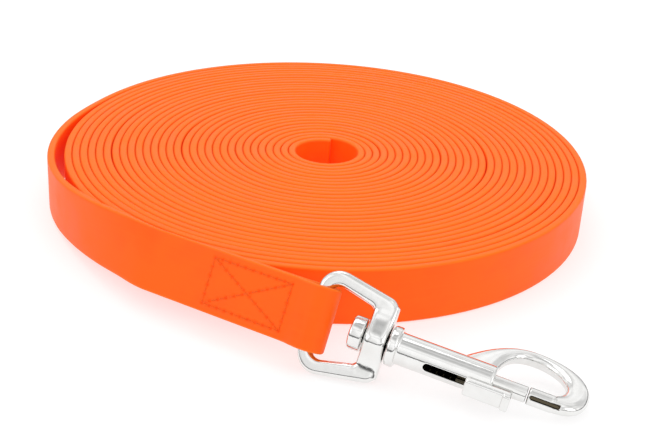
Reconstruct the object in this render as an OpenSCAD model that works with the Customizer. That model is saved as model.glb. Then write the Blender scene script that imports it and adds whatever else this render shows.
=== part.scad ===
// Training leash: coated webbing wound on edge, with a swivel bolt snap sewn to its outer end.
// Millimetres, +Z up. The origin is on the ground at the centre of the coil.
// +X is the way the snap points, seen from above.

/* [Strap] */
// Width of the webbing, which is also the height of the coil
strap_w = 16; // [14:0.5:18]
// Thickness of the webbing
strap_t = 2.25; // [2:0.05:2.4]
// Radial distance from one turn of the coil to the next
turn_pitch = 2.31; // [2.26:0.01:2.5]
// Whole turns between the inner end and the place where the strap leaves the coil
turns = 30; // [30:1:31]
// Radius of the open middle of the coil
coil_hole_r = 8.2; // [7:0.1:11]

/* [Sewn end] */
// Heading of the straight sewn end, seen from above
seam_heading = -12; // [-14:1:-10]
// How far the sewn end leans back over the coil
seam_lean = 28; // [26:1:28]
// Length of the folded-back tail
tail_len = 34; // [33:1:48]
// Near end of the sewn box, from the eye's bar
box_near = 7.2; // [7:0.1:8]
// Length of the sewn box along the strap
box_len = 22.7; // [20:0.1:24]
// Width of the sewn box across the strap
box_w = 11.7; // [10:0.1:13]
// Diameter of the sewing thread
thread_d = 0.7; // [0.5:0.1:0.8]

/* [Swivel eye] */
// Diameter of the bar that the strap is folded round
bar_d = 3.2; // [2.8:0.1:3.4]
// From the centre of the bar to the outer face of the crossbar
eye_len = 18.6; // [18:0.1:19]
// Outer width of the eye at the bar
eye_w_bar = 27.6; // [26:0.1:28]
// Outer width of the eye at the crossbar
eye_w_cross = 20.2; // [19:0.1:21]
// Width of the side rails
rail_w = 4.2; // [3.4:0.1:4.3]
// Length of the crossbar along the snap
cross_len = 5.8; // [5:0.1:6]
// Thickness of the eye
eye_t = 3.4; // [3:0.1:3.6]

/* [Snap body] */
// Diameter of the barrel
barrel_d = 7.8; // [7.4:0.1:8.2]
// Diameter of the collar behind the barrel
collar_d = 9.8; // [9.4:0.1:10.2]
// Diameter of the plunger
plunger_d = 3.9; // [3.7:0.1:4]
// Thickness of the hook
hook_t = 3.5; // [3.3:0.1:4]
// How far the thumb stud pulls the plunger back
travel = 9; // [7:0.5:9]

/* [Hidden] */
$fn = 48;

strap_color = "darkorange";
thread_color = "orangered";
metal_color = "gainsboro";
steel_color = "silver";

// where the snap is and how it lies
snap_at = [30, -91.5, 12.6];
snap_slope = 8.5;
eye_lean = 28;
hook_roll = 0;

// the coil
inner_az = 98;
leave_az = 168;
inner_r = coil_hole_r + strap_t / 2;
leave_r = inner_r + turn_pitch * (turns + (leave_az - inner_az) / 360);
last_turn = 270;
coil_r = leave_r - turn_pitch * last_turn / 360 - strap_t / 2;

// the stretch between the coil and the sewn end: azimuth, radius, height of the middle, lean
lead_route = [[179, 79.8, 8, 0], [191, 81, 8, 0], [203, 81.8, 8.1, 0], [213, 81.9, 8.4, 0],
              [223, 81.6, 9, 1], [233, 81.3, 10.2, 5], [243, 81.7, 11.6, 12], [251, 82.6, 12.6, 19.5]];

// the sewn end
seam_len = 48.4;
ply_gap = 0.11;
ply_n = (strap_t + ply_gap) / 2;
loop_r = 3.3;
flare_len = 7;
face_n = ply_n + strap_t / 2;

// along the snap, from the bar
running_gap = 0.3;
rivet_shank_r = 2;
swivel_fit = 0.08;
rivet_head_r = 4.2;
rivet_head_len = 3.2;
rivet_end = 22.6;
collar_x = eye_len + running_gap;
collar_len = 2.3;
barrel_end = 44.5;
bore_back = 23.4;
bore_r = plunger_d / 2 + 0.08;
gate_x = 52.7;
nose_r = 2.1;
nose_end = 59.5;
slot_back = 28.2;
slot_front = 42.6;
slot_w = 2;
stem_x = 38.4;
stem_len = 3.4;
plunger_back = 36;
stud_x = [38.5, 49.5];
stud_y = [4.1, 6.3];
stud_w = 4.4;
spring_turns = 7;
spring_wire_r = 0.22;
spring_r = 1.6;

// ---- functions ----

function unit(v) = v / norm(v);
function smooth(t) = t * t * (3 - 2 * t);

// a point on a cubic curve, and the points of one curve without its last
function bez(p, t) = p[0] * pow(1 - t, 3) + 3 * p[1] * t * pow(1 - t, 2) + 3 * p[2] * t * t * (1 - t) + p[3] * t * t * t;
function curve(p, n) = [for (i = [0 : n - 1]) bez(p, i / n)];

// a ring of the swept strap is [centre, direction across the strap, outward normal]
function polar_ring(az, r, z, lean) =
    let (out = [cos(az), sin(az), 0])
    [r * out + [0, 0, z],
     cos(lean) * [0, 0, 1] - sin(lean) * out,
     cos(lean) * out + sin(lean) * [0, 0, 1]];

seam_dir = [cos(seam_heading), sin(seam_heading), 0];
seam_out = [sin(seam_heading), -cos(seam_heading), 0];
seam_up = cos(seam_lean) * [0, 0, 1] - sin(seam_lean) * seam_out;
seam_n = cos(seam_lean) * seam_out + sin(seam_lean) * [0, 0, 1];

// a ring at distance s along the sewn end and offset n from its middle, facing a degrees round the loop
function seam_ring(s, n, a) =
    [snap_at + s * seam_dir + n * seam_n, seam_up, cos(a) * seam_n + sin(a) * seam_dir];

// the plies close up from the loop to the seam
function ply_offset(s) = ply_n + (loop_r - ply_n) * smooth(max(0, 1 + s / flare_len));

// the eight corners of the strap's section in a ring
bevel = 0.5;
section = [[-strap_w / 2 + bevel, -strap_t / 2], [strap_w / 2 - bevel, -strap_t / 2],
           [strap_w / 2, -strap_t / 2 + bevel], [strap_w / 2, strap_t / 2 - bevel],
           [strap_w / 2 - bevel, strap_t / 2], [-strap_w / 2 + bevel, strap_t / 2],
           [-strap_w / 2, strap_t / 2 - bevel], [-strap_w / 2, -strap_t / 2 + bevel]];
function ring_points(ring) = [for (p = section) ring[0] + p[0] * ring[1] + p[1] * ring[2]];

// a closed skin over a list of rings of the same number of points
module skin(rings) {
    n = len(rings[0]);
    m = len(rings);
    sides = [for (i = [0 : m - 2], j = [0 : n - 1])
             let (a = i * n + j, b = i * n + (j + 1) % n)
             each [[a, b, b + n], [a, b + n, a + n]]];
    start = [for (j = [n - 1 : -1 : 0]) j];
    end = [for (j = [0 : n - 1]) (m - 1) * n + j];
    polyhedron(points = [for (r = rings, p = r) p], faces = concat(sides, [start], [end]), convexity = 8);
}

// ---- placing ----

module at_snap(roll) {
    translate(snap_at)
        rotate([0, snap_slope, 0])
            rotate([roll, 0, 0])
                children();
}

module along_x(x) {
    translate([x, 0, 0])
        rotate([0, 90, 0])
            children();
}

// ---- the strap ----

// the wound turns, as one ring
module strap_coil() {
    color(strap_color)
        rotate_extrude($fn = 120)
            translate([coil_hole_r, 0])
                square([coil_r - coil_hole_r, strap_w]);
}

// the outermost turn, the free stretch, the fold round the eye's bar and the tail behind it
module strap_lead() {
    turn_steps = 27;
    turn_rings = [for (i = [0 : turn_steps])
                  let (az = leave_az - last_turn * (1 - i / turn_steps))
                  polar_ring(az, leave_r - turn_pitch * (leave_az - az) / 360, strap_w / 2, 0)];
    route_rings = [for (p = lead_route) polar_ring(p[0], p[1], p[2], p[3])];
    front_s = [-seam_len, -36, -25, -14, -flare_len, -5.2, -3.5, -1.7];
    front_rings = [for (s = front_s) seam_ring(s, ply_offset(s), 0)];
    loop_rings = [for (a = [0 : 22.5 : 180]) seam_ring(loop_r * sin(a), loop_r * cos(a), a)];
    back_s = [-1.7, -3.5, -5.2, -flare_len, -14, -25, -tail_len];
    back_rings = [for (s = back_s) seam_ring(s, -ply_offset(s), 180)];
    rings = concat(turn_rings, route_rings, front_rings, loop_rings, back_rings);
    color(strap_color)
        skin([for (r = rings) ring_points(r)]);
}

// one run of thread on a face of the seam, from a to b in [along, across]
module thread_run(a, b) {
    d = b - a;
    translate([a[0], a[1], 0])
        rotate([0, 0, atan2(d[1], d[0])])
            along_x(0)
                cylinder(h = norm(d), d = thread_d, $fn = 16);
}

// the box and cross, on both faces of the folded end
module box_stitching() {
    near = -box_near;
    far = -box_near - box_len;
    corners = [[near, -box_w / 2], [near, box_w / 2], [far, box_w / 2], [far, -box_w / 2]];
    color(thread_color)
        multmatrix([[seam_dir[0], seam_up[0], seam_n[0], snap_at[0]],
                    [seam_dir[1], seam_up[1], seam_n[1], snap_at[1]],
                    [seam_dir[2], seam_up[2], seam_n[2], snap_at[2]]])
            for (face = [-1, 1])
                translate([0, 0, face * face_n]) {
                    for (i = [0 : 3])
                        thread_run(corners[i], corners[(i + 1) % 4]);
                    thread_run(corners[0], corners[2]);
                    thread_run(corners[1], corners[3]);
                }
}

// ---- the swivel eye ----

// a trapezoid with round corners, symmetric about y = 0, from x0 to x1
module round_trapezoid(x0, x1, half0, half1, r0, r1) {
    slope = (half0 - half1) / (x1 - x0);
    tilt = atan(slope);
    c0 = [x0 + r0, half0 - slope * r0 - r0 / cos(tilt)];
    c1 = [x1 - r1, half1 + slope * r1 - r1 / cos(tilt)];
    edge = [sin(tilt), cos(tilt)];
    upper = [[x0, c0[1]], c0 + r0 * edge, c1 + r1 * edge, [x1, c1[1]]];
    polygon(concat(upper, [for (i = [3 : -1 : 0]) [upper[i][0], -upper[i][1]]]));
    for (side = [-1, 1]) {
        translate([c0[0], side * c0[1]])
            circle(r0);
        translate([c1[0], side * c1[1]])
            circle(r1);
    }
}

// flat tapered ring with a round strap bar and a bored crossbar
module swivel_eye() {
    back = -bar_d / 2;
    cross_x = eye_len - cross_len;
    taper = (eye_w_bar - eye_w_cross) / 2 / (eye_len - back);
    inner_bar = eye_w_bar / 2 - rail_w;
    inner_cross = eye_w_bar / 2 - taper * (cross_x - back) - rail_w;
    boss_r = 4.3;
    color(metal_color)
        at_snap(-eye_lean)
            difference() {
                union() {
                    rotate([90, 0, 0])
                        translate([0, 0, -eye_t / 2])
                            linear_extrude(eye_t)
                                difference() {
                                    round_trapezoid(back, eye_len, eye_w_bar / 2, eye_w_cross / 2, 5.2, 3.2);
                                    round_trapezoid(bar_d / 2, cross_x, inner_bar, inner_cross, 2.4, 1.4);
                                    translate([back - 1, -inner_bar + 1.3])
                                        square([bar_d + 1.5, 2 * inner_bar - 2.6]);
                                }
                    cylinder(h = 2 * inner_bar, d = bar_d, center = true);
                    along_x(cross_x)
                        cylinder(h = cross_len, r = boss_r);
                }
                along_x(cross_x - 1)
                    cylinder(h = cross_len + 2, r = rivet_shank_r + swivel_fit);
            }
}

// headed pin that joins the eye to the collar
module swivel_rivet() {
    head_x = eye_len - cross_len - running_gap - rivet_head_len;
    color(metal_color)
        at_snap(hook_roll) {
            along_x(head_x)
                cylinder(h = 0.6, r1 = rivet_head_r - 0.6, r2 = rivet_head_r);
            along_x(head_x + 0.6)
                cylinder(h = rivet_head_len - 0.6, r = rivet_head_r);
            along_x(head_x + rivet_head_len)
                cylinder(h = rivet_end - head_x - rivet_head_len, r = rivet_shank_r);
        }
}

// ---- the snap body ----

// outline of the hook, from its root on the barrel round to the nose and back inside
module hook_outline() {
    outer = concat(
        curve([[33.5, 2.4], [37, 8.5], [43, 17.1], [51.5, 17.1]], 10),
        curve([[51.5, 17.1], [58.5, 17.1], [66.2, 14], [66.2, 6]], 10),
        curve([[66.2, 6], [66.2, 1], [64, -nose_r], [nose_end, -nose_r]], 8));
    nose = [[nose_end, -nose_r], [gate_x + 1, -nose_r], [gate_x + 1, nose_r]];
    inner = concat(
        curve([[56.5, nose_r], [59, nose_r], [60.4, 4], [60.4, 6.6]], 6),
        curve([[60.4, 6.6], [60.4, 10.5], [56, 13.8], [51.5, 13.8]], 8),
        curve([[51.5, 13.8], [46, 13.8], [44.3, 8], [44.3, 3.4]], 8));
    root = [[44.3, 3.4], [44.3, 2.4]];
    polygon(concat(outer, nose, inner, root));
}

// collar, slotted barrel and hook in one casting
module hook_body() {
    slot_r = slot_w / 2;
    color(metal_color)
        at_snap(hook_roll)
            difference() {
                union() {
                    along_x(collar_x)
                        cylinder(h = collar_len, d = collar_d);
                    along_x(collar_x + collar_len)
                        cylinder(h = barrel_end - collar_x - collar_len, d = barrel_d);
                    translate([0, 0, -hook_t / 2])
                        linear_extrude(hook_t)
                            hook_outline();
                    along_x(gate_x)
                        cylinder(h = nose_end - gate_x, r = nose_r);
                }
                along_x(collar_x - 1)
                    cylinder(h = rivet_end - collar_x + 1, r = rivet_shank_r);
                along_x(bore_back)
                    cylinder(h = barrel_end + 1 - bore_back, r = bore_r);
                rotate([90, 0, 0]) {
                    translate([slot_back + slot_r, -slot_r, 0])
                        cube([slot_front - slot_back - slot_w, slot_w, barrel_d]);
                    for (x = [slot_back + slot_r, slot_front - slot_r])
                        translate([x, 0, 0])
                            cylinder(h = barrel_d, r = slot_r);
                }
            }
}

// ---- what slides in the barrel ----

// round bolt that closes the hook
module plunger() {
    nose_gap = 0.3;
    color(steel_color)
        at_snap(hook_roll)
            along_x(plunger_back)
                cylinder(h = gate_x - nose_gap - plunger_back, d = plunger_d);
}

// thumb block and the flat stem that joins it to the plunger through the slot
module thumb_stud() {
    stem_w = slot_w - 0.2;
    lip_len = 1.9;
    lip_h = 0.6;
    color(metal_color)
        at_snap(hook_roll) {
            translate([stem_x, -stud_y[0] - 0.5, -stem_w / 2])
                cube([stem_len, stud_y[0] + 0.5, stem_w]);
            translate([0, -stud_y[0], 0])
                rotate([90, 0, 0])
                    linear_extrude(stud_y[1] - stud_y[0])
                        round_trapezoid(stud_x[0], stud_x[1], stud_w / 2, stud_w / 2 - 0.2, 0.6, 0.6);
            translate([stud_x[1] - lip_len, -stud_y[1] - lip_h, -stud_w / 2 + 0.4])
                cube([lip_len, lip_h + 0.5, stud_w - 0.8]);
        }
}

// compression spring behind the plunger
module return_spring() {
    steps = 14;
    x0 = bore_back + 2 * spring_wire_r;
    x1 = plunger_back - 2 * spring_wire_r;
    rings = [for (i = [0 : steps * spring_turns])
             let (a = 360 * i / steps,
                  x = x0 + (x1 - x0) * i / (steps * spring_turns),
                  out = [0, cos(a), sin(a)])
             [for (k = [0 : 5])
              [x, 0, 0] + (spring_r + spring_wire_r * cos(-60 * k)) * out
              + [spring_wire_r * sin(-60 * k), 0, 0]]];
    color(steel_color)
        at_snap(hook_roll)
            skin(rings);
}

strap_coil();
strap_lead();
box_stitching();
swivel_eye();
swivel_rivet();
hook_body();
plunger();
thumb_stud();
return_spring();
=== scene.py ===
"""Training leash: coated webbing wound on edge, its outer end sewn round a swivel bolt snap."""
from math import atan2, ceil, cos, degrees, hypot, pi, radians, sin

import bmesh
import bpy
import numpy as np
from mathutils import Matrix, Quaternion, Vector


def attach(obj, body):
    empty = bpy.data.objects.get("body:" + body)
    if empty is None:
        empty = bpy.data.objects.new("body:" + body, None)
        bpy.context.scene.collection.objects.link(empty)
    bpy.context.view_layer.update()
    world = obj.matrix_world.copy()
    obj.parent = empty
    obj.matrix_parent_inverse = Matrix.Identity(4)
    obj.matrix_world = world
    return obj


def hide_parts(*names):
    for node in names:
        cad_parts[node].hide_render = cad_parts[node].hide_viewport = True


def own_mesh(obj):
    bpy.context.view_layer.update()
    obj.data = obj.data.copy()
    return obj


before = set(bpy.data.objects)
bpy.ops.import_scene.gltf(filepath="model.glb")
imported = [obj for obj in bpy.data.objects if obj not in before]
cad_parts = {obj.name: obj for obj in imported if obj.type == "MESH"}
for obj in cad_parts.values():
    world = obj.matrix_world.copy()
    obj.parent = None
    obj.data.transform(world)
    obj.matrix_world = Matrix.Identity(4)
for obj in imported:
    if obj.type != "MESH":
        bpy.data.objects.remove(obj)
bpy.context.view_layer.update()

MM = 0.001  # the shapes are worked out in millimetres and turned into metres as each mesh is made
UP = np.array([0.0, 0.0, 1.0])

# ---- the strap's sizes ----

STRAP_W = 15.9
STRAP_T = 2.2
EDGE_R = 0.62
END_ROUND = 0.3
EDGE_FADE = (0.0006, 0.0001)  # where a face's colour gives way to the edge's, in metres from the edge
TURN_PITCH = 2.31
TURNS = 30  # whole turns of the coil; the lead lies outside them as one more
INNER_AZ = 98  # azimuth of the inner end, in degrees, and of the place where the strap leaves the coil
LEAVE_AZ = 168
INNER_R = 9.325
STEPS_PER_TURN = 120

# the stretch between the coil and the sewn end: azimuth, radius, height of the middle, lean
LEAD_ROUTE = [
    (179, 79.8, 8, 0), (191, 81, 8, 0), (203, 81.8, 8.1, 0), (213, 81.9, 8.4, 0),
    (223, 81.6, 9, 1), (233, 81.3, 10.2, 5), (243, 81.7, 11.6, 12), (251, 82.6, 12.6, 19.5),
]
LEAD_STEP = 1.5  # degrees from ring to ring of the strap there

# turns that stand off from the one inside them: turn, azimuth, half width in degrees, gap
LOOSE_TURNS = [
    (4, 60, 70, 0.22), (8, 250, 60, 0.2), (12, 30, 50, 0.18), (15, 190, 60, 0.22), (18, 20, 55, 0.27),
    (20, 300, 45, 0.2), (22, 110, 50, 0.2), (24, 215, 60, 0.2), (26, 335, 50, 0.26), (28, 70, 60, 0.22),
]
# the height of the turns: clear of the table, rising outward, with waves of (size, rate, start)
TURN_LIFT, TURN_RISE = 0.12, 0.006
TURN_WAVES = [(0.05, 2.1, 0), (0.04, 5.3, 1)]
# the open middle isn't quite in the centre of the outer turns
MIDDLE_DRIFT = 2.0
MIDDLE_DRIFT_AZ = radians(-72)

# ---- the sewn end's sizes ----

SNAP_AT = np.array([30, -91.5, 12.6])
SEAM_HEADING = radians(-12)
SEAM_LEAN = radians(28)
SEAM_LEN = 48.4
TAIL_LEN = 34
PLY_OFFSET = 1.18
LOOP_R = 3.3
FLARE_LEN = 7
BOX_NEAR = 7.2
BOX_LEN = 22.7
BOX_W = 11.7
FINE_MARGIN, FINE_STEP = 1.5, 0.25  # the strap is finely divided round the sewing
STITCH_PITCH = 2.45
THREAD_R = 0.125
STITCH_DEPTH, STITCH_RISE, STITCH_TWIST = 0.42, 0.44, 1.6
GROOVE_DEPTH, GROOVE_R = 0.03, 0.5
HOLE_DEPTH, HOLE_R = 0.6, 0.38

SEAM_DIR = np.array([cos(SEAM_HEADING), sin(SEAM_HEADING), 0])
SEAM_OUT = np.array([sin(SEAM_HEADING), -cos(SEAM_HEADING), 0])
SEAM_UP = cos(SEAM_LEAN) * UP - sin(SEAM_LEAN) * SEAM_OUT
SEAM_N = cos(SEAM_LEAN) * SEAM_OUT + sin(SEAM_LEAN) * UP

# ---- the snap's sizes, along it from the centre of the eye's bar ----

# in degrees: how far it slopes down, and how far its eye and its hook are turned about its length
SNAP_SLOPE = 8.5
EYE_LEAN = -28
HOOK_ROLL = 0
EYE_BACK, EYE_FRONT = -1.6, 18.6
WINDOW_BACK, WINDOW_FRONT = 1.6, 12.8
EYE_HALF_BACK, EYE_HALF_FRONT = 13.8, 10.1
RAIL_W = 4.2
EYE_HALF_T = 1.7
EYE_EDGE_R = 1.2
EYE_CORNERS, WINDOW_CORNERS = (5.2, 3.2), (2.4, 1.4)  # radii at the back and at the front
CROSSBAR_HALF, CROSSBAR_RINGS = 9, 31
SWELL_H, SWELL_LEN = 2.8, 4.3
SHANK_R = 2.0
SHANK_END = 22.6
# the turned parts: back, front, radius
RIVET_HEAD = (9.3, 12.5, 4.2)
COLLAR = (18.9, 21.2, 4.9)
BARREL = (21.2, 44.5, 3.9)
PLUNGER = (36, 52.4, 1.95)
BORE_BACK, BORE_R = 23.4, 2.05
SLOT_BACK, SLOT_FRONT, SLOT_W = 28.2, 42.6, 2.0
GATE_X, NOSE_END, NOSE_R = 52.7, 59.5, 2.1
RECESS_X, RECESS_W, RECESS_DEEP, RECESS_TURN = (53.2, 60.3), 1.0, 0.8, radians(27)
HOOK_HALF_T = 1.75
STUD_X = (38.5, 49.5)
STUD_Y = (-6.3, -4.1)
STUD_HALF_W = 2.2
LIP_LEN, LIP_H = 1.9, 0.6
STEM_X = (38.4, 41.8)
SPRING_X = (23.8, 35.6)
SPRING_R, SPRING_WIRE_R, SPRING_TURNS = 1.6, 0.22, 7


# ---- colours, as a darker and a lighter one where they vary ----

STRAP_FACE = (0.90, 0.102, 0.002), (0.94, 0.122, 0.003)
# the long edges' lighter, yellower orange is painted light, standing in for the brighter light falling on
# the coil's top
LIT_STRAP_EDGES = (0.83, 0.148, 0.003), (0.87, 0.17, 0.004)
SEWING_THREAD = (0.90, 0.112, 0.003), (0.96, 0.132, 0.004)
PLATING = (0.78, 0.775, 0.76), (0.84, 0.84, 0.83)
# dark colour of the hook's bore, slot, nose recess and seat: partly metal without plating, partly painted
# shade in these hollows
HOLLOW_METAL_AND_SHADE = (0.09, 0.075, 0.05)
# dark steel colour painted as shade for the spring inside the bore
SPRING_STEEL_IN_SHADE = (0.12, 0.11, 0.09), (0.24, 0.22, 0.19)
TABLE_GREY = (0.44, 0.44, 0.44), (0.48, 0.48, 0.48)


# ---- small helpers ----

def unit(v):
    return v / np.linalg.norm(v)


def smoothstep(t):
    t = np.clip(t, 0, 1)
    return t * t * (3 - 2 * t)


def hermite(knots, values, x):
    """A smooth curve through the values at the knots, read at x."""
    knots, values = np.array(knots, float), np.array(values, float)
    slopes = np.gradient(values, knots, axis=0)
    i = np.clip(np.searchsorted(knots, x, side="right") - 1, 0, len(knots) - 2)
    step = (knots[i + 1] - knots[i])[:, None]
    t = (x[:, None] - knots[i][:, None]) / step
    return ((1 + 2 * t) * (1 - t) ** 2 * values[i] + t * (1 - t) ** 2 * step * slopes[i]
            + t * t * (3 - 2 * t) * values[i + 1] - t * t * (1 - t) * step * slopes[i + 1])


def bezier(points, count):
    """Points along one cubic curve, without its last."""
    p = np.array(points, float)
    t = np.linspace(0, 1, count, endpoint=False)[:, None]
    return p[0] * (1 - t) ** 3 + 3 * p[1] * t * (1 - t) ** 2 + 3 * p[2] * t * t * (1 - t) + p[3] * t ** 3


def new_piece(name, points, faces, material):
    """A mesh object from points in millimetres."""
    mesh = bpy.data.meshes.new(name)
    mesh.from_pydata((np.array(points, float) * MM).tolist(), [], [tuple(f) for f in faces])
    mesh.validate()
    mesh.update()
    mesh.polygons.foreach_set("use_smooth", [True] * len(mesh.polygons))
    mesh.materials.append(material)
    piece = bpy.data.objects.new(name, mesh)
    bpy.context.scene.collection.objects.link(piece)
    return piece


def tube(rings):
    """Points and faces of a closed skin over rings that all have the same number of points."""
    count, around = len(rings), len(rings[0])
    faces = [(i * around + j, i * around + (j + 1) % around,
              (i + 1) * around + (j + 1) % around, (i + 1) * around + j)
             for i in range(count - 1) for j in range(around)]
    faces.append(tuple(range(around - 1, -1, -1)))
    faces.append(tuple(range((count - 1) * around, count * around)))
    return np.concatenate(rings), faces


def face_outward(piece):
    """Turns every face's front outward."""
    mesh = bmesh.new()
    mesh.from_mesh(piece.data)
    bmesh.ops.recalc_face_normals(mesh, faces=mesh.faces)
    mesh.to_mesh(piece.data)
    mesh.free()


def join(parts):
    """Several (points, faces) as one."""
    points, faces, start = [], [], 0
    for part_points, part_faces in parts:
        points.append(part_points)
        faces += [tuple(start + i for i in f) for f in part_faces]
        start += len(part_points)
    return np.concatenate(points), faces


# ---- materials ----

class Shader:
    """A node material with short calls for the nodes that it uses."""

    def __init__(self, name):
        self.material = bpy.data.materials.new(name)
        self.material.use_nodes = True
        self.tree = self.material.node_tree
        self.surface = self.tree.nodes["Principled BSDF"]

    def add(self, kind, **settings):
        made = self.tree.nodes.new(kind)
        for key, value in settings.items():
            setattr(made, key, value)
        return made

    def link(self, source, target):
        self.tree.links.new(source, target)

    def coordinates(self, scale, attribute=None):
        """Object coordinates, or a point attribute, stretched by scale."""
        mapping = self.add("ShaderNodeMapping")
        mapping.inputs["Scale"].default_value = scale
        if attribute:
            source = self.add("ShaderNodeAttribute", attribute_name=attribute).outputs["Vector"]
        else:
            source = self.add("ShaderNodeTexCoord").outputs["Object"]
        self.link(source, mapping.inputs["Vector"])
        return mapping.outputs["Vector"]

    def noise(self, vector, scale, detail):
        made = self.add("ShaderNodeTexNoise")
        made.inputs["Scale"].default_value = scale
        made.inputs["Detail"].default_value = detail
        made.inputs["Roughness"].default_value = 0.55
        self.link(vector, made.inputs["Vector"])
        return made.outputs["Fac"]

    def spread(self, value, low, high):
        """A 0-to-1 noise stretched about its middle into low-to-high."""
        made = self.add("ShaderNodeMapRange")
        made.inputs["From Min"].default_value = 0.3
        made.inputs["From Max"].default_value = 0.7
        made.inputs["To Min"].default_value = low
        made.inputs["To Max"].default_value = high
        self.link(value, made.inputs["Value"])
        return made.outputs["Result"]

    def mix_colors(self, value, first, second):
        """Between two colours, each a fixed one or another node's output."""
        made = self.add("ShaderNodeMix", data_type="RGBA")
        self.link(value, made.inputs[0])
        for colour, entry in ((first, made.inputs[6]), (second, made.inputs[7])):
            if isinstance(colour, tuple):
                entry.default_value = (*colour, 1)
            else:
                self.link(colour, entry)
        return made.outputs[2]

    def bump(self, height, distance, strength=1.0, below=None):
        made = self.add("ShaderNodeBump")
        made.inputs["Distance"].default_value = distance
        made.inputs["Strength"].default_value = strength
        self.link(height, made.inputs["Height"])
        if below:
            self.link(below, made.inputs["Normal"])
        return made.outputs["Normal"]

    def near_edge(self, place, half_width):
        """1 on the strap's two long edges and 0 on its faces."""
        parts = self.add("ShaderNodeSeparateXYZ")
        self.link(place, parts.inputs["Vector"])
        off_centre = self.add("ShaderNodeMath", operation="ABSOLUTE")
        self.link(parts.outputs["Y"], off_centre.inputs[0])
        made = self.add("ShaderNodeMapRange")
        made.inputs["From Min"].default_value = half_width - EDGE_FADE[0]
        made.inputs["From Max"].default_value = half_width - EDGE_FADE[1]
        self.link(off_centre.outputs[0], made.inputs["Value"])
        return made.outputs["Result"]

    def set(self, **values):
        for name, value in values.items():
            self.surface.inputs[name.replace("_", " ")].default_value = value


def strap_material():
    """Orange plastic-coated webbing: satin, with a fine grain and faint lengthwise lines, and a faint
    painted red glow that keeps its shaded sides red.
    """
    s = Shader("coated_webbing")
    along = s.coordinates((1, 1, 1), "strap_place")
    streaks = s.coordinates((0.06, 1, 1), "strap_place")
    mottle = s.noise(along, 90, 3)
    lines = s.noise(streaks, 1400, 3)
    grain = s.noise(along, 3600, 2)
    tone = s.add("ShaderNodeMath", operation="MULTIPLY_ADD")
    tone.inputs[1].default_value = 0.3
    s.link(lines, tone.inputs[0])
    s.link(mottle, tone.inputs[2])
    shade = s.spread(tone.outputs[0], 0.0, 1.0)
    faces = s.mix_colors(shade, *STRAP_FACE)
    # lighter edge colour painted in as light falling on the coil's top edges
    edges = s.mix_colors(shade, *LIT_STRAP_EDGES)
    s.link(s.mix_colors(s.near_edge(along, STRAP_W / 2 * MM), faces, edges), s.surface.inputs["Base Color"])
    s.link(s.spread(mottle, 0.38, 0.52), s.surface.inputs["Roughness"])
    lined = s.bump(lines, distance=0.00004, strength=0.5)
    s.link(s.bump(grain, distance=0.000025, strength=0.55, below=lined), s.surface.inputs["Normal"])
    # The faint red emission is painted light: the strap glows a little so that its shaded sides and the
    # gaps between turns stay red.
    s.set(Sheen_Weight=0.03, Sheen_Roughness=0.4, Sheen_Tint=(1, 0.75, 0.68, 1),
          Specular_IOR_Level=0.17, Emission_Color=(1.0, 0.02, 0.0, 1), Emission_Strength=0.11)
    return s.material


def thread_material():
    """Slightly darker orange twisted polyester."""
    s = Shader("sewing_thread")
    place = s.coordinates((1, 1, 1))
    fibres = s.noise(place, 5200, 3)
    dirt = s.noise(place, 420, 2)
    s.link(s.mix_colors(s.spread(dirt, 0, 1), *SEWING_THREAD), s.surface.inputs["Base Color"])
    s.link(s.spread(fibres, 0.5, 0.72), s.surface.inputs["Roughness"])
    s.link(s.bump(fibres, distance=0.00003, strength=0.5), s.surface.inputs["Normal"])
    s.set(Sheen_Weight=0.1, Sheen_Roughness=0.35, Specular_IOR_Level=0.25)
    return s.material


def chrome_material():
    """Bright plating over a cast body: faint waves, fine polishing haze, dull specks, and a dark colour in
    the hook's hollows that is partly metal without plating, partly painted shade.
    """
    s = Shader("bright_chrome")
    place = s.coordinates((1, 1, 1))
    waves = s.noise(place, 210, 2)
    haze = s.noise(place, 1500, 4)
    # painted shade: the hollows marked by the point attribute take a dark colour, partly for metal without
    # plating
    shade_and_bareness = s.add("ShaderNodeAttribute", attribute_name="hollow_shade_and_bareness").outputs["Fac"]
    plating = s.mix_colors(s.spread(waves, 0, 1), *PLATING)
    s.link(s.mix_colors(shade_and_bareness, plating, HOLLOW_METAL_AND_SHADE), s.surface.inputs["Base Color"])
    s.link(s.spread(haze, 0.06, 0.16), s.surface.inputs["Roughness"])
    wavy = s.bump(waves, distance=0.0001, strength=0.5)
    s.link(s.bump(haze, distance=0.000012, strength=0.4, below=wavy), s.surface.inputs["Normal"])
    s.set(Metallic=1.0)
    return s.material


def spring_material():
    """Drawn steel wire, duller than the plating, its colour darkened as painted shade for its place inside
    the bore.
    """
    s = Shader("spring_wire")
    drawn = s.noise(s.coordinates((1, 1, 1)), 2600, 3)
    s.link(s.mix_colors(drawn, *SPRING_STEEL_IN_SHADE), s.surface.inputs["Base Color"])
    s.link(s.spread(drawn, 0.22, 0.4), s.surface.inputs["Roughness"])
    s.set(Metallic=1.0)
    return s.material


def floor_material():
    """Pale matt table that glows a little, so that only faint shadows show."""
    s = Shader("pale_table")
    paper = s.noise(s.coordinates((1, 1, 1)), 900, 3)
    s.link(s.mix_colors(paper, *TABLE_GREY), s.surface.inputs["Base Color"])
    s.set(Roughness=0.75, Specular_IOR_Level=0.15, Emission_Color=(1, 1, 1, 1), Emission_Strength=0.6)
    return s.material


# ---- the strap's route ----

def loose_gap(theta):
    """How far the turn at theta, degrees from the inner end, stands off beyond the even pitch."""
    standing = np.zeros_like(theta)
    for turn, azimuth, spread, gap in LOOSE_TURNS:
        centre = 360 * turn + azimuth - INNER_AZ
        off = np.abs(theta - centre) / spread
        standing += gap * smoothstep(1 - off)
    return standing


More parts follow.
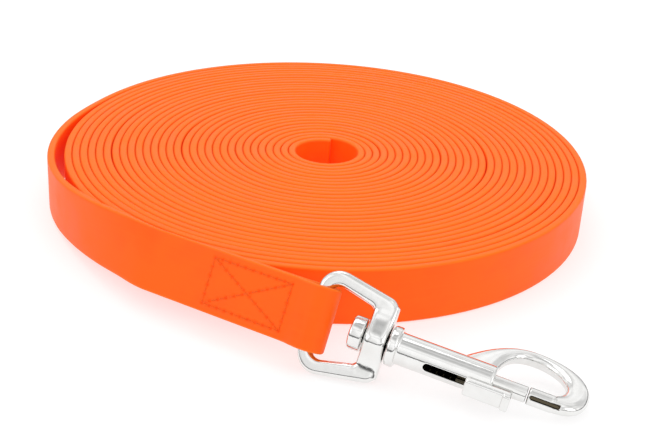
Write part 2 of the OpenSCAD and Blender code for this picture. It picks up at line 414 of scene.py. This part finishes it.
def coil_radii():
    """Radii at even steps from the inner end to the outermost turn's leaving point."""
    last = 360 * TURNS + LEAVE_AZ - INNER_AZ
    theta = np.linspace(0, last, round(last / 360 * STEPS_PER_TURN) + 1)
    lap = round(360 / (theta[1] - theta[0]))
    standing = loose_gap(theta)
    ease = smoothstep(theta / 360 - 1)
    extra = np.zeros_like(theta)
    for first in range(lap):
        same_azimuth = slice(first, None, lap)
        share = standing[same_azimuth].sum() / ease[same_azimuth].sum()
        extra[same_azimuth] = np.cumsum(standing[same_azimuth] - share * ease[same_azimuth])
    return theta, INNER_R + TURN_PITCH * theta / 360 + extra


def turn_height(theta):
    """Height of the strap's middle: turns sit a little higher or lower than their neighbours."""
    lap = theta / 360
    height = STRAP_W / 2 + TURN_LIFT + TURN_RISE * lap
    for size, rate, start in TURN_WAVES:
        height = height + size * np.sin(rate * lap + start)
    return height


def ply_offset(s):
    """Distance of each ply's middle from the seam's middle: the plies part to go round the bar."""
    return PLY_OFFSET + (LOOP_R - PLY_OFFSET) * smoothstep(1 + s / FLARE_LEN)


def seam_point(s, n):
    return SNAP_AT + s * SEAM_DIR + n * SEAM_N


def strap_path():
    """Centre, across direction and place on the seam of each ring of the strap, inner end to tail."""
    theta, radii = coil_radii()
    azimuth = theta + INNER_AZ
    heights = turn_height(theta)
    leans = np.zeros_like(theta)

    start = seam_point(-SEAM_LEN, ply_offset(-SEAM_LEN))
    beyond = seam_point(-SEAM_LEN + 8, ply_offset(-SEAM_LEN))
    seam_knots = [(degrees(atan2(p[1], p[0])) % 360, hypot(p[0], p[1]), p[2], degrees(SEAM_LEAN))
                  for p in (start, beyond)]
    before = [(LEAVE_AZ - back, radii[-1 - round(back * STEPS_PER_TURN / 360)], heights[-1], 0)
              for back in (12, 0)]
    knots = np.array(before + LEAD_ROUTE + seam_knots, float)
    free = np.arange(LEAVE_AZ + LEAD_STEP, seam_knots[0][0] - 0.5, LEAD_STEP)
    route = hermite(knots[:, 0], knots[:, 1:], free)

    az = np.radians(np.concatenate([azimuth - 360 * TURNS, free]))
    radius = np.concatenate([radii, route[:, 0]])
    height = np.concatenate([heights, route[:, 1]])
    lean = np.radians(np.concatenate([leans, route[:, 2]]))
    out = np.stack([np.cos(az), np.sin(az), np.zeros_like(az)], axis=1)
    centres = radius[:, None] * out + height[:, None] * UP
    drift = MIDDLE_DRIFT * np.clip(1 - (radius - INNER_R) / (radii[-1] - TURN_PITCH - INNER_R), 0, 1)
    centres += drift[:, None] * np.array([cos(MIDDLE_DRIFT_AZ), sin(MIDDLE_DRIFT_AZ), 0])
    across = np.cos(lean)[:, None] * UP - np.sin(lean)[:, None] * out

    fine = np.arange(-BOX_NEAR - BOX_LEN - FINE_MARGIN, -BOX_NEAR + FINE_MARGIN, FINE_STEP)
    front = np.concatenate([np.linspace(-SEAM_LEN, fine[0], 4, endpoint=False), fine,
                            np.linspace(fine[-1], 0, 12, endpoint=False)[1:]])
    back = np.append(front[front > -TAIL_LEN + 0.5][::-1], -TAIL_LEN)
    turn = np.radians(np.arange(0, 181, 15))
    along = np.concatenate([front, LOOP_R * np.sin(turn), back])
    offset = np.concatenate([ply_offset(front), LOOP_R * np.cos(turn), -ply_offset(back)])
    seam = SNAP_AT + along[:, None] * SEAM_DIR + offset[:, None] * SEAM_N
    centres = np.concatenate([centres, seam])
    across = np.concatenate([across, np.tile(SEAM_UP, (len(seam), 1))])
    on_seam = np.concatenate([np.full(len(radius), np.nan), front, np.full(len(turn), np.nan), back])
    return centres, across, on_seam


def strap_section(columns):
    """(across, outward) points of the strap's rounded section, and the places of its key points.

    The outer face comes first, with extra columns where it is sewn."""
    half_w, half_t = STRAP_W / 2 - EDGE_R, STRAP_T / 2 - EDGE_R
    support = half_w - 0.5
    inner_columns = np.linspace(-support, support, columns)
    points = [(-half_w, STRAP_T / 2)] + [(a, STRAP_T / 2) for a in inner_columns]
    for side_a, side_n, start in ((1, 1, 90), (1, -1, 0), (-1, -1, -90), (-1, 1, -180)):
        points += [(side_a * half_w + EDGE_R * cos(radians(start - turn)),
                    side_n * half_t + EDGE_R * sin(radians(start - turn)))
                   for turn in (0, 22.5, 45, 67.5, 90)]
        if (side_a, side_n) == (1, -1):
            points += [(support, -STRAP_T / 2), (-support, -STRAP_T / 2)]
    points = points[:-1]
    keys = [0, 1] + list(range(columns, len(points)))
    return np.array(points), keys


# ---- the sewing ----

def stitch_holes():
    """Needle holes of the box and cross, run by run, as (along, across) on the seam."""
    near, far, half = -BOX_NEAR, -BOX_NEAR - BOX_LEN, BOX_W / 2
    corners = [(near, -half), (near, half), (far, half), (far, -half)]
    runs = [(corners[i], corners[(i + 1) % 4]) for i in range(4)]
    runs += [(corners[0], corners[2]), (corners[1], corners[3])]
    holes = []
    for a, b in runs:
        a, b = np.array(a), np.array(b)
        count = ceil(np.linalg.norm(b - a) / STITCH_PITCH)
        holes.append([a + (b - a) * i / count for i in range(count + 1)])
    return holes


def pressed_in(along, across, holes):
    """Depth that the thread and the needle have pressed the strap's face in, at points on the seam."""
    place = np.stack([along, across], axis=-1)
    depth = np.zeros(place.shape[:-1])
    for run in holes:
        a, b = run[0], run[-1]
        length = np.linalg.norm(b - a)
        t = np.clip(((place - a) @ (b - a)) / length ** 2, 0, 1)
        off = np.linalg.norm(place - a - t[..., None] * (b - a), axis=-1)
        depth = np.maximum(depth, GROOVE_DEPTH * np.exp(-(off / GROOVE_R) ** 2))
    for run in holes:
        for hole in run:
            off = np.linalg.norm(place - hole, axis=-1)
            depth = np.maximum(depth, HOLE_DEPTH * np.exp(-(off / HOLE_R) ** 2))
    return depth


def make_strap(material, holes):
    centres, across, on_seam = strap_path()
    tangents = np.gradient(centres, axis=0)
    tangents /= np.linalg.norm(tangents, axis=1)[:, None]
    across = across - (across * tangents).sum(axis=1)[:, None] * tangents
    across /= np.linalg.norm(across, axis=1)[:, None]
    outward = np.cross(tangents, across)
    distance = np.concatenate([[0], np.cumsum(np.linalg.norm(np.diff(centres, axis=0), axis=1))])

    plain, plain_keys = strap_section(2)
    sewn, sewn_keys = strap_section(58)
    low, high = -BOX_NEAR - BOX_LEN - 1.4, -BOX_NEAR + 1.3
    is_sewn = np.array([not np.isnan(s) and low < s < high for s in on_seam])

    points, places, starts, keys = [], [], [], []
    total = 0
    for i in range(len(centres)):
        section = (sewn if is_sewn[i] else plain).copy()
        if i in (0, len(centres) - 1):
            section *= (1 - END_ROUND / STRAP_W, 1 - END_ROUND / STRAP_T)
        if is_sewn[i]:
            face = section[:, 1] > STRAP_T / 2 - 0.01
            section[face, 1] -= pressed_in(np.full(face.sum(), on_seam[i]), section[face, 0], holes)
        points.append(centres[i] + section[:, :1] * across[i] + section[:, 1:] * outward[i])
        places.append(np.column_stack([np.full(len(section), distance[i]), section]))
        starts.append(total)
        keys.append(sewn_keys if is_sewn[i] else plain_keys)
        total += len(section)

    faces = []
    for i in range(len(centres) - 1):
        count, following = len(points[i]), len(points[i + 1])
        if count == following:
            faces += [(starts[i] + j, starts[i] + (j + 1) % count,
                       starts[i + 1] + (j + 1) % count, starts[i + 1] + j) for j in range(count)]
            continue
        for k in range(len(keys[i])):
            here, there = keys[i][k], keys[i + 1][k]
            here_next = keys[i][(k + 1) % len(keys[i])] or count
            there_next = keys[i + 1][(k + 1) % len(keys[i])] or following
            edge = [starts[i] + j % count for j in range(here, here_next + 1)]
            opposite = [starts[i + 1] + j % following for j in range(there, there_next + 1)]
            faces.append(tuple(edge + opposite[::-1]))
    faces.append(tuple(range(len(points[0]) - 1, -1, -1)))
    faces.append(tuple(range(starts[-1], total)))

    strap = new_piece("strap", np.concatenate(points), faces, material)
    mesh = strap.data
    mesh.polygons[len(mesh.polygons) - 1].use_smooth = False
    mesh.polygons[len(mesh.polygons) - 2].use_smooth = False
    place = mesh.attributes.new("strap_place", "FLOAT_VECTOR", "POINT")
    place.data.foreach_set("vector", (np.concatenate(places) * MM).ravel())
    return strap


def stitch(a, b, face, seed):
    """One two-ply stitch on a face of the seam, from hole a to hole b, diving in at both ends."""
    parts = []
    steps, around, plies = 12, 6, 2
    span = np.linalg.norm(b - a)
    direction = (b - a) / span
    side = np.array([-direction[1], direction[0]])
    flat_side = np.array([side[0], side[1], 0])
    ply_r = THREAD_R * 0.98
    start_angle = seed * 2.4
    for ply in range(plies):
        rings = []
        for i in range(steps + 1):
            t = i / steps
            height = -STITCH_DEPTH + STITCH_RISE * (1 - (2 * t - 1) ** 6)
            angle = start_angle + 2 * pi * (ply / plies + t * STITCH_TWIST)
            flat = a + (b - a) * (0.15 + 0.7 * t) + side * THREAD_R * cos(angle)
            centre = np.array([flat[0], flat[1], height + THREAD_R * sin(angle) * 0.8])
            dive = -STITCH_RISE * 12 * (2 * t - 1) ** 5
            tangent = unit(np.array([direction[0] * span, direction[1] * span, dive]))
            normal = unit(np.cross(flat_side, tangent))
            turns = [2 * pi * k / around for k in range(around)]
            rings.append(np.array([centre + ply_r * (cos(q) * flat_side + sin(q) * normal) for q in turns]))
        parts.append(tube(rings))
    points, faces = join(parts)
    depth = face * (PLY_OFFSET + STRAP_T / 2 - GROOVE_DEPTH + points[:, 2])
    world = SNAP_AT + points[:, :1] * SEAM_DIR + points[:, 1:2] * SEAM_UP + depth[:, None] * SEAM_N
    return world, faces


def make_stitching(material, holes):
    parts = []
    for face in (1, -1):
        for run in holes:
            for i in range(len(run) - 1):
                parts.append(stitch(run[i], run[i + 1], face, len(parts)))
    points, faces = join(parts)
    return new_piece("box_stitching_thread", points, faces, material)


# ---- metal shapes ----

def snap_matrix(roll):
    return (Matrix.Translation(Vector(SNAP_AT)) @ Matrix.Rotation(radians(SNAP_SLOPE), 4, "Y")
            @ Matrix.Rotation(radians(roll), 4, "X"))


def on_snap(points):
    """Points in the snap's own directions, moved to where it lies."""
    place = np.array(snap_matrix(HOOK_ROLL))
    return points @ place[:3, :3].T + place[:3, 3]


def superellipse(half_a, half_b, power, count=32):
    """Points of a rounded section between an ellipse, power 1, and a box, power 0."""
    turns = [2 * pi * (k + 0.5) / count for k in range(count)]
    return [(half_a * abs(cos(q)) ** power * np.sign(cos(q)),
             half_b * abs(sin(q)) ** power * np.sign(sin(q))) for q in turns]


def lathe(profile, around=72):
    """A solid turned about the snap's axis from (x, radius) points."""
    angles = [2 * pi * k / around for k in range(around)]
    return tube([np.array([(x, r * cos(a), r * sin(a)) for a in angles]) for x, r in profile])


def rounded_rod(x0, x1, radius, round0, round1, steps=6):
    """Profile of a rod with a rounded edge at each end."""
    quarter = [pi / 2 * i / steps for i in range(steps + 1)]
    start = [(x0 + round0 * (1 - sin(q)), radius - round0 * (1 - cos(q))) for q in reversed(quarter)]
    end = [(x1 - round1 * (1 - sin(q)), radius - round1 * (1 - cos(q))) for q in quarter]
    return start + end


def trapezoid_loop(x0, x1, half0, half1, r0, r1, arc=10, straight=6):
    """Points of a trapezoid with round corners, symmetric about z = 0, always the same number."""
    slope = (half0 - half1) / (x1 - x0)
    tilt = np.arctan(slope)
    corners = [
        (x0 + r0, half0 - slope * r0 - r0 / cos(tilt), r0, pi, pi / 2 - tilt),
        (x1 - r1, half1 + slope * r1 - r1 / cos(tilt), r1, pi / 2 - tilt, 0),
        (x1 - r1, -half1 - slope * r1 + r1 / cos(tilt), r1, 0, -pi / 2 + tilt),
        (x0 + r0, -half0 + slope * r0 + r0 / cos(tilt), r0, -pi / 2 + tilt, -pi),
    ]
    arcs = [[(cx + r * cos(q), cz + r * sin(q)) for q in np.linspace(start, end, arc)]
            for cx, cz, r, start, end in corners]
    loop = []
    for i, points in enumerate(arcs):
        following = arcs[(i + 1) % 4][0]
        loop += points
        loop += [tuple(np.array(points[-1]) + (np.array(following) - points[-1]) * t)
                 for t in np.linspace(0, 1, straight + 1)[1:-1]]
    return np.array(loop)


def eye_ring():
    """The eye's flat tapered ring, its edges rounded almost to a rod."""
    taper = (EYE_HALF_BACK - EYE_HALF_FRONT) / (EYE_FRONT - EYE_BACK)
    inner_back = EYE_HALF_BACK - RAIL_W
    inner_front = EYE_HALF_BACK - taper * (WINDOW_FRONT - EYE_BACK) - RAIL_W
    outer = (EYE_BACK, EYE_FRONT, EYE_HALF_BACK, EYE_HALF_FRONT, *EYE_CORNERS)
    window = (WINDOW_BACK, WINDOW_FRONT, inner_back, inner_front, *WINDOW_CORNERS)
    across = np.linspace(-pi / 2, pi / 2, 9)
    rings = []
    for (x0, x1, *sizes), sign, turns in ((outer, -1, across), (window, 1, -across)):
        for q in turns:
            grown = sign * EYE_EDGE_R * (1 - cos(q))
            y = (EYE_HALF_T - EYE_EDGE_R) * np.sign(q) + EYE_EDGE_R * sin(q)
            rings.append((y, trapezoid_loop(x0 - grown, x1 + grown, *(size + grown for size in sizes))))
    around = len(rings[0][1])
    points = np.concatenate([[(x, y, z) for x, z in loop] for y, loop in rings])
    count = len(rings)
    faces = [(i * around + j, i * around + (j + 1) % around,
              (i + 1) % count * around + (j + 1) % around, (i + 1) % count * around + j)
             for i in range(count) for j in range(around)]
    return points, faces


def crossbar():
    """The eye's crossbar, which swells round the post and thins out to the rails."""
    middle, half_x = (WINDOW_FRONT + EYE_FRONT) / 2, (EYE_FRONT - WINDOW_FRONT) / 2
    rings = []
    for z in np.linspace(-CROSSBAR_HALF, CROSSBAR_HALF, CROSSBAR_RINGS):
        half_y = EYE_HALF_T - 0.1 + SWELL_H * np.exp(-(z / SWELL_LEN) ** 2)
        rings.append(np.array([(middle + x, y, z) for x, y in superellipse(half_x, half_y, power=0.45)]))
    return tube(rings)


def hook_rod():
    """The hook, swept between its outer and inner outlines with a rounded section."""
    outer = np.concatenate([
        bezier([(32.5, 0.4), (37, 8.5), (43, 17.1), (51.5, 17.1)], 26),
        bezier([(51.5, 17.1), (58.5, 17.1), (66.2, 14), (66.2, 6)], 26),
        bezier([(66.2, 6), (66.2, 1), (64, -NOSE_R), (NOSE_END - 1, -NOSE_R)], 20)])
    inner = np.concatenate([
        bezier([(43.9, 0.4), (44.3, 8), (46, 13.8), (51.5, 13.8)], 26),
        bezier([(51.5, 13.8), (56, 13.8), (60.4, 10.5), (60.4, 6.6)], 26),
        bezier([(60.4, 6.6), (60.4, 4), (59, NOSE_R), (56.5, NOSE_R)], 20)])
    rings = []
    for a, b in zip(outer, inner):
        middle, half = (a + b) / 2, (a - b) / 2
        rings.append(np.array([(*(middle + half * u), v)
                               for u, v in superellipse(1, HOOK_HALF_T, power=0.85)]))
    return tube(rings)


def rounded_block(x, y, z, edge, steps=5):
    """A block between two x, y and z, with every edge and corner rounded."""
    low, high = np.array([x[0], y[0], z[0]]), np.array([x[1], y[1], z[1]])
    centre, half = (low + high) / 2, (high - low) / 2 - edge
    rows, around = 4 * steps, 8 * steps
    rings = []
    for i in range(rows + 1):
        polar = -pi / 2 + pi * (i + 0.02) / (rows + 0.04)
        ring = []
        for k in range(around):
            turn = 2 * pi * (k + 0.5) / around
            ray = np.array([cos(polar) * cos(turn), cos(polar) * sin(turn), sin(polar)])
            ring.append(centre + half * np.sign(ray) + edge * ray)
        rings.append(np.array(ring))
    return tube(rings)


def solid_object(parts):
    """A hidden helper object, in millimetres, from (points, faces)."""
    points, faces = join(parts)
    mesh = bpy.data.meshes.new("working_shape")
    mesh.from_pydata(points.tolist(), [], faces)
    mesh.update()
    helper = bpy.data.objects.new("working_shape", mesh)
    bpy.context.scene.collection.objects.link(helper)
    face_outward(helper)
    return helper


def cast_metal(name, material, roll, parts, cuts=(), voxel=0.2, soften=5, plating_gaps_and_shade=None):
    """Overlapping parts fused into one casting with softened corners, less the cuts.

    The last argument gives, from 0 to 1, how far each point takes the dark colour of the hollows: metal
    without plating, darkened further as painted shade."""
    body = solid_object(parts)
    first = body.modifiers.new("fuse", "REMESH")
    first.mode, first.voxel_size = "VOXEL", voxel
    helpers = [solid_object([cut]) for cut in cuts]
    for helper in helpers:
        cutting = body.modifiers.new("cut", "BOOLEAN")
        cutting.operation, cutting.solver, cutting.object = "DIFFERENCE", "EXACT", helper
    if helpers:
        again = body.modifiers.new("even", "REMESH")
        again.mode, again.voxel_size = "VOXEL", voxel * 0.9
    soft = body.modifiers.new("soften", "SMOOTH")
    soft.factor, soft.iterations = 0.5, soften
    bpy.context.view_layer.update()
    evaluated = body.evaluated_get(bpy.context.evaluated_depsgraph_get())
    mesh = bpy.data.meshes.new_from_object(evaluated)
    for helper in [body, *helpers]:
        bpy.data.objects.remove(helper)
    mesh.name = name
    # marks the hollows for their dark colour, partly metal without plating and partly painted shade
    if plating_gaps_and_shade:
        shade_and_bareness = mesh.attributes.new("hollow_shade_and_bareness", "FLOAT", "POINT")
        shade_and_bareness.data.foreach_set("value", plating_gaps_and_shade(np.array([v.co for v in mesh.vertices])))
    mesh.transform(Matrix.Scale(MM, 4) @ snap_matrix(roll))
    mesh.polygons.foreach_set("use_smooth", [True] * len(mesh.polygons))
    mesh.materials.clear()
    mesh.materials.append(material)
    piece = bpy.data.objects.new(name, mesh)
    bpy.context.scene.collection.objects.link(piece)
    return piece


def turned_metal(name, material, profile):
    points, faces = lathe(profile)
    return new_piece(name, on_snap(points), faces, material)


def make_eye(material):
    bore = lathe([(WINDOW_FRONT - 2, SHANK_R + 0.1), (EYE_FRONT + 2, SHANK_R + 0.1)])
    return cast_metal("swivel_eye_casting", material, EYE_LEAN, [eye_ring(), crossbar()], [bore])


def slot_shape(x0, x1, width, low, high, turn=0.0):
    """A round-ended prism that cuts into the snap's near side, turned about its length."""
    half = width / 2
    ends = [(x0 + half, pi / 2, 3 * pi / 2), (x1 - half, -pi / 2, pi / 2)]
    outline = [(cx + half * cos(q), half * sin(q)) for cx, q0, q1 in ends for q in np.linspace(q0, q1, 13)]
    outward = np.array([0, -cos(turn), sin(turn)])
    sideways = np.array([0, sin(turn), cos(turn)])
    return tube([np.array([np.array([x, 0, 0]) + height * outward + z * sideways for x, z in outline])
                 for height in (low, high)])


def hook_plating_gaps_and_shade(points):
    """How dark the hook casting is at points: the bore, the slot, the nose's recess and its seat aren't
    plated, and their dark colour is also painted shade for these hollows.
    """
    x, y, z = points.T
    off_axis = np.hypot(y, z)
    bore = (x > BORE_BACK - 0.2) & (x < BARREL[1] - 0.7) & (off_axis < BORE_R + 0.3)
    slot = ((x > SLOT_BACK - 0.15) & (x < SLOT_FRONT + 0.15) & (abs(z) < SLOT_W / 2 + 0.15)
            & (y < 0) & (off_axis < BARREL[2] - 0.15))
    outward = -y * cos(RECESS_TURN) + z * sin(RECESS_TURN)
    sideways = y * sin(RECESS_TURN) + z * cos(RECESS_TURN)
    recess = ((x > RECESS_X[0] - 0.1) & (x < RECESS_X[1] + 0.1) & (abs(sideways) < RECESS_W / 2 + 0.1)
              & (outward > 0.5) & (outward < NOSE_R - 0.2))
    seat = (x > GATE_X - 0.2) & (x < GATE_X + 0.2) & (off_axis < NOSE_R + 0.2)
    return (bore | slot | recess | seat).astype(float)


def make_hook(material):
    """Collar, barrel, nose and hook in one casting, less the bore, the slot and the nose's recess."""
    collar = lathe(rounded_rod(*COLLAR, round0=0.6, round1=0.5))
    barrel = lathe(rounded_rod(BARREL[0] - 1, *BARREL[1:], round0=0.1, round1=0.55))
    nose = lathe(rounded_rod(GATE_X, NOSE_END, NOSE_R, round0=0.25, round1=1.2))
    bore = lathe([(BORE_BACK, BORE_R), (BARREL[1] + 2, BORE_R)])
    slot = slot_shape(SLOT_BACK, SLOT_FRONT, SLOT_W, 0, BARREL[2] + 2)
    recess = slot_shape(*RECESS_X, RECESS_W, NOSE_R - RECESS_DEEP, NOSE_R + 1, RECESS_TURN)
    return cast_metal("hook_casting", material, HOOK_ROLL, [collar, barrel, nose, hook_rod()],
                      [bore, slot, recess], voxel=0.17, plating_gaps_and_shade=hook_plating_gaps_and_shade)


def make_stud(material):
    """Thumb block with a lip at its front end, on the stem that goes through the slot."""
    block = rounded_block(STUD_X, STUD_Y, (-STUD_HALF_W, STUD_HALF_W), 0.7)
    lip = rounded_block((STUD_X[1] - LIP_LEN, STUD_X[1]), (STUD_Y[0] - LIP_H, STUD_Y[1]),
                        (-STUD_HALF_W + 0.1, STUD_HALF_W - 0.1), 0.45)
    stem = rounded_block(STEM_X, (STUD_Y[1] - 0.8, -0.6), (-0.88, 0.88), 0.2)
    return cast_metal("thumb_stud_casting", material, HOOK_ROLL, [block, lip, stem],
                      voxel=0.13, soften=4)


def make_spring(material):
    rings = []
    steps = 28
    for i in range(steps * SPRING_TURNS + 1):
        a = 2 * pi * i / steps
        x = SPRING_X[0] + (SPRING_X[1] - SPRING_X[0]) * i / (steps * SPRING_TURNS)
        out = np.array([0, cos(a), sin(a)])
        rings.append(np.array([np.array([x, 0, 0]) + (SPRING_R + SPRING_WIRE_R * cos(q)) * out
                               - np.array([SPRING_WIRE_R * sin(q), 0, 0])
                               for q in np.linspace(0, 2 * pi, 10, endpoint=False)]))
    points, faces = tube(rings)
    return new_piece("return_spring_wire", on_snap(points), faces, material)


# ---- table, light and camera ----

def make_floor():
    radius, steps = 2600, 72
    points = [(0, 0, 0)] + [(radius * cos(2 * pi * k / steps), radius * sin(2 * pi * k / steps), 0)
                            for k in range(steps)]
    faces = [(0, k + 1, (k + 1) % steps + 1) for k in range(steps)]
    floor = new_piece("table", points, faces, floor_material())


def make_light(name, size, energy, position, target):
    """A square lamp, in metres and watts, that shines at the target."""
    data = bpy.data.lights.new(name, "AREA")
    data.shape, data.size, data.energy = "SQUARE", size, energy
    light = bpy.data.objects.new(name, data)
    light.location = position
    light.rotation_mode = "QUATERNION"
    light.rotation_quaternion = (Vector(target) - Vector(position)).to_track_quat("-Z", "Y")
    bpy.context.scene.collection.objects.link(light)


# grey of the studio at heights from 0, the horizon, to 1, straight above
STUDIO_STOPS = [(0.0, 0.1), (0.1, 0.14), (0.19, 0.95), (0.55, 1.0), (0.9, 1.0), (0.965, 0.76), (1.0, 0.68)]


def make_world():
    """Pale, slightly uneven studio, with a dark band low down that gives the chrome its dark edges."""
    world = bpy.data.worlds.new("studio")
    world.use_nodes = True
    nodes, links = world.node_tree.nodes, world.node_tree.links
    background = nodes["Background"]
    place = nodes.new("ShaderNodeTexCoord")
    parts = nodes.new("ShaderNodeSeparateXYZ")
    ramp = nodes.new("ShaderNodeValToRGB")
    links.new(place.outputs["Generated"], parts.inputs["Vector"])
    links.new(parts.outputs["Z"], ramp.inputs["Fac"])
    panels = nodes.new("ShaderNodeTexNoise")
    panels.inputs["Scale"].default_value = 2.6
    panels.inputs["Detail"].default_value = 1.0
    evenness = nodes.new("ShaderNodeMapRange")
    evenness.inputs["From Min"].default_value = 0.38
    evenness.inputs["From Max"].default_value = 0.6
    evenness.inputs["To Min"].default_value = 0.68
    evenness.inputs["To Max"].default_value = 1.08
    patchy = nodes.new("ShaderNodeVectorMath")
    patchy.operation = "SCALE"
    links.new(place.outputs["Generated"], panels.inputs["Vector"])
    links.new(panels.outputs["Fac"], evenness.inputs["Value"])
    links.new(ramp.outputs["Color"], patchy.inputs[0])
    links.new(evenness.outputs["Result"], patchy.inputs["Scale"])
    links.new(patchy.outputs["Vector"], background.inputs["Color"])
    ramp.color_ramp.elements[0].position = STUDIO_STOPS[0][0]
    ramp.color_ramp.elements[1].position = STUDIO_STOPS[-1][0]
    for position, _ in STUDIO_STOPS[1:-1]:
        ramp.color_ramp.elements.new(position)
    for element, (_, grey) in zip(ramp.color_ramp.elements, STUDIO_STOPS):
        element.color = (grey, grey, grey, 1)
    background.inputs["Strength"].default_value = 1.1
    bpy.context.scene.world = world


CAMERA_AIM = Vector((0.0065, -0.0176, 0.0))
CAMERA_AZIMUTH = radians(18)
CAMERA_ELEVATION = radians(26.04)
CAMERA_DISTANCE = 0.3704
CAMERA_ROLL = radians(3.42)
CAMERA_LENS, CAMERA_SENSOR = 69.3, 36


def make_camera():
    data = bpy.data.cameras.new("camera")
    data.lens, data.sensor_width = CAMERA_LENS, CAMERA_SENSOR
    data.clip_start, data.clip_end = 0.01, 20
    camera = bpy.data.objects.new("camera", data)
    back = Vector((sin(CAMERA_AZIMUTH) * cos(CAMERA_ELEVATION),
                   -cos(CAMERA_AZIMUTH) * cos(CAMERA_ELEVATION), sin(CAMERA_ELEVATION)))
    camera.location = CAMERA_AIM + back * CAMERA_DISTANCE
    camera.rotation_mode = "QUATERNION"
    camera.rotation_quaternion = (-back).to_track_quat("-Z", "Y") @ Quaternion((0, 0, 1), CAMERA_ROLL)
    bpy.context.scene.collection.objects.link(camera)
    bpy.context.scene.camera = camera


# ---- putting it together ----

def finish_piece(piece, body, nodes):
    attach(piece, body)
    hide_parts(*nodes)


make_camera()
make_world()
make_floor()
make_light("overhead", size=0.9, energy=2.5, position=(-0.35, 0.35, 1.2), target=(0, 0, 0))
make_light("front_left", size=0.7, energy=1.2, position=(-0.8, -0.9, 0.7), target=(0, -0.05, 0))
make_light("front_right", size=0.6, energy=1.3, position=(0.95, -0.5, 0.45), target=(0, -0.05, 0))

holes = stitch_holes()
chrome = chrome_material()
strap = make_strap(strap_material(), holes)
stitching = make_stitching(thread_material(), holes)
eye = make_eye(chrome)
hook = make_hook(chrome)
rivet_head = rounded_rod(*RIVET_HEAD, round0=0.7, round1=0.3)[:-1]
rivet_shank = [(RIVET_HEAD[1], SHANK_R), (SHANK_END, SHANK_R)]
rivet = turned_metal("swivel_rivet_post", chrome, rivet_head + rivet_shank)
plunger = turned_metal("plunger_bolt", chrome, rounded_rod(*PLUNGER, round0=0.3, round1=0.3))
stud = make_stud(chrome)
spring = make_spring(spring_material())
for piece in (strap, stitching, rivet, plunger, spring):
    face_outward(piece)

finish_piece(strap, "strap", ["strap_coil", "strap_lead"])
finish_piece(stitching, "strap", ["box_stitching"])
finish_piece(eye, "eye", ["swivel_eye"])
finish_piece(hook, "hook", ["hook_body"])
finish_piece(rivet, "hook", ["swivel_rivet"])
finish_piece(plunger, "bolt", ["plunger"])
finish_piece(stud, "bolt", ["thumb_stud"])
finish_piece(spring, "hook", ["return_spring"])

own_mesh(spring)

bpy.context.scene.view_settings.view_transform = "Standard"
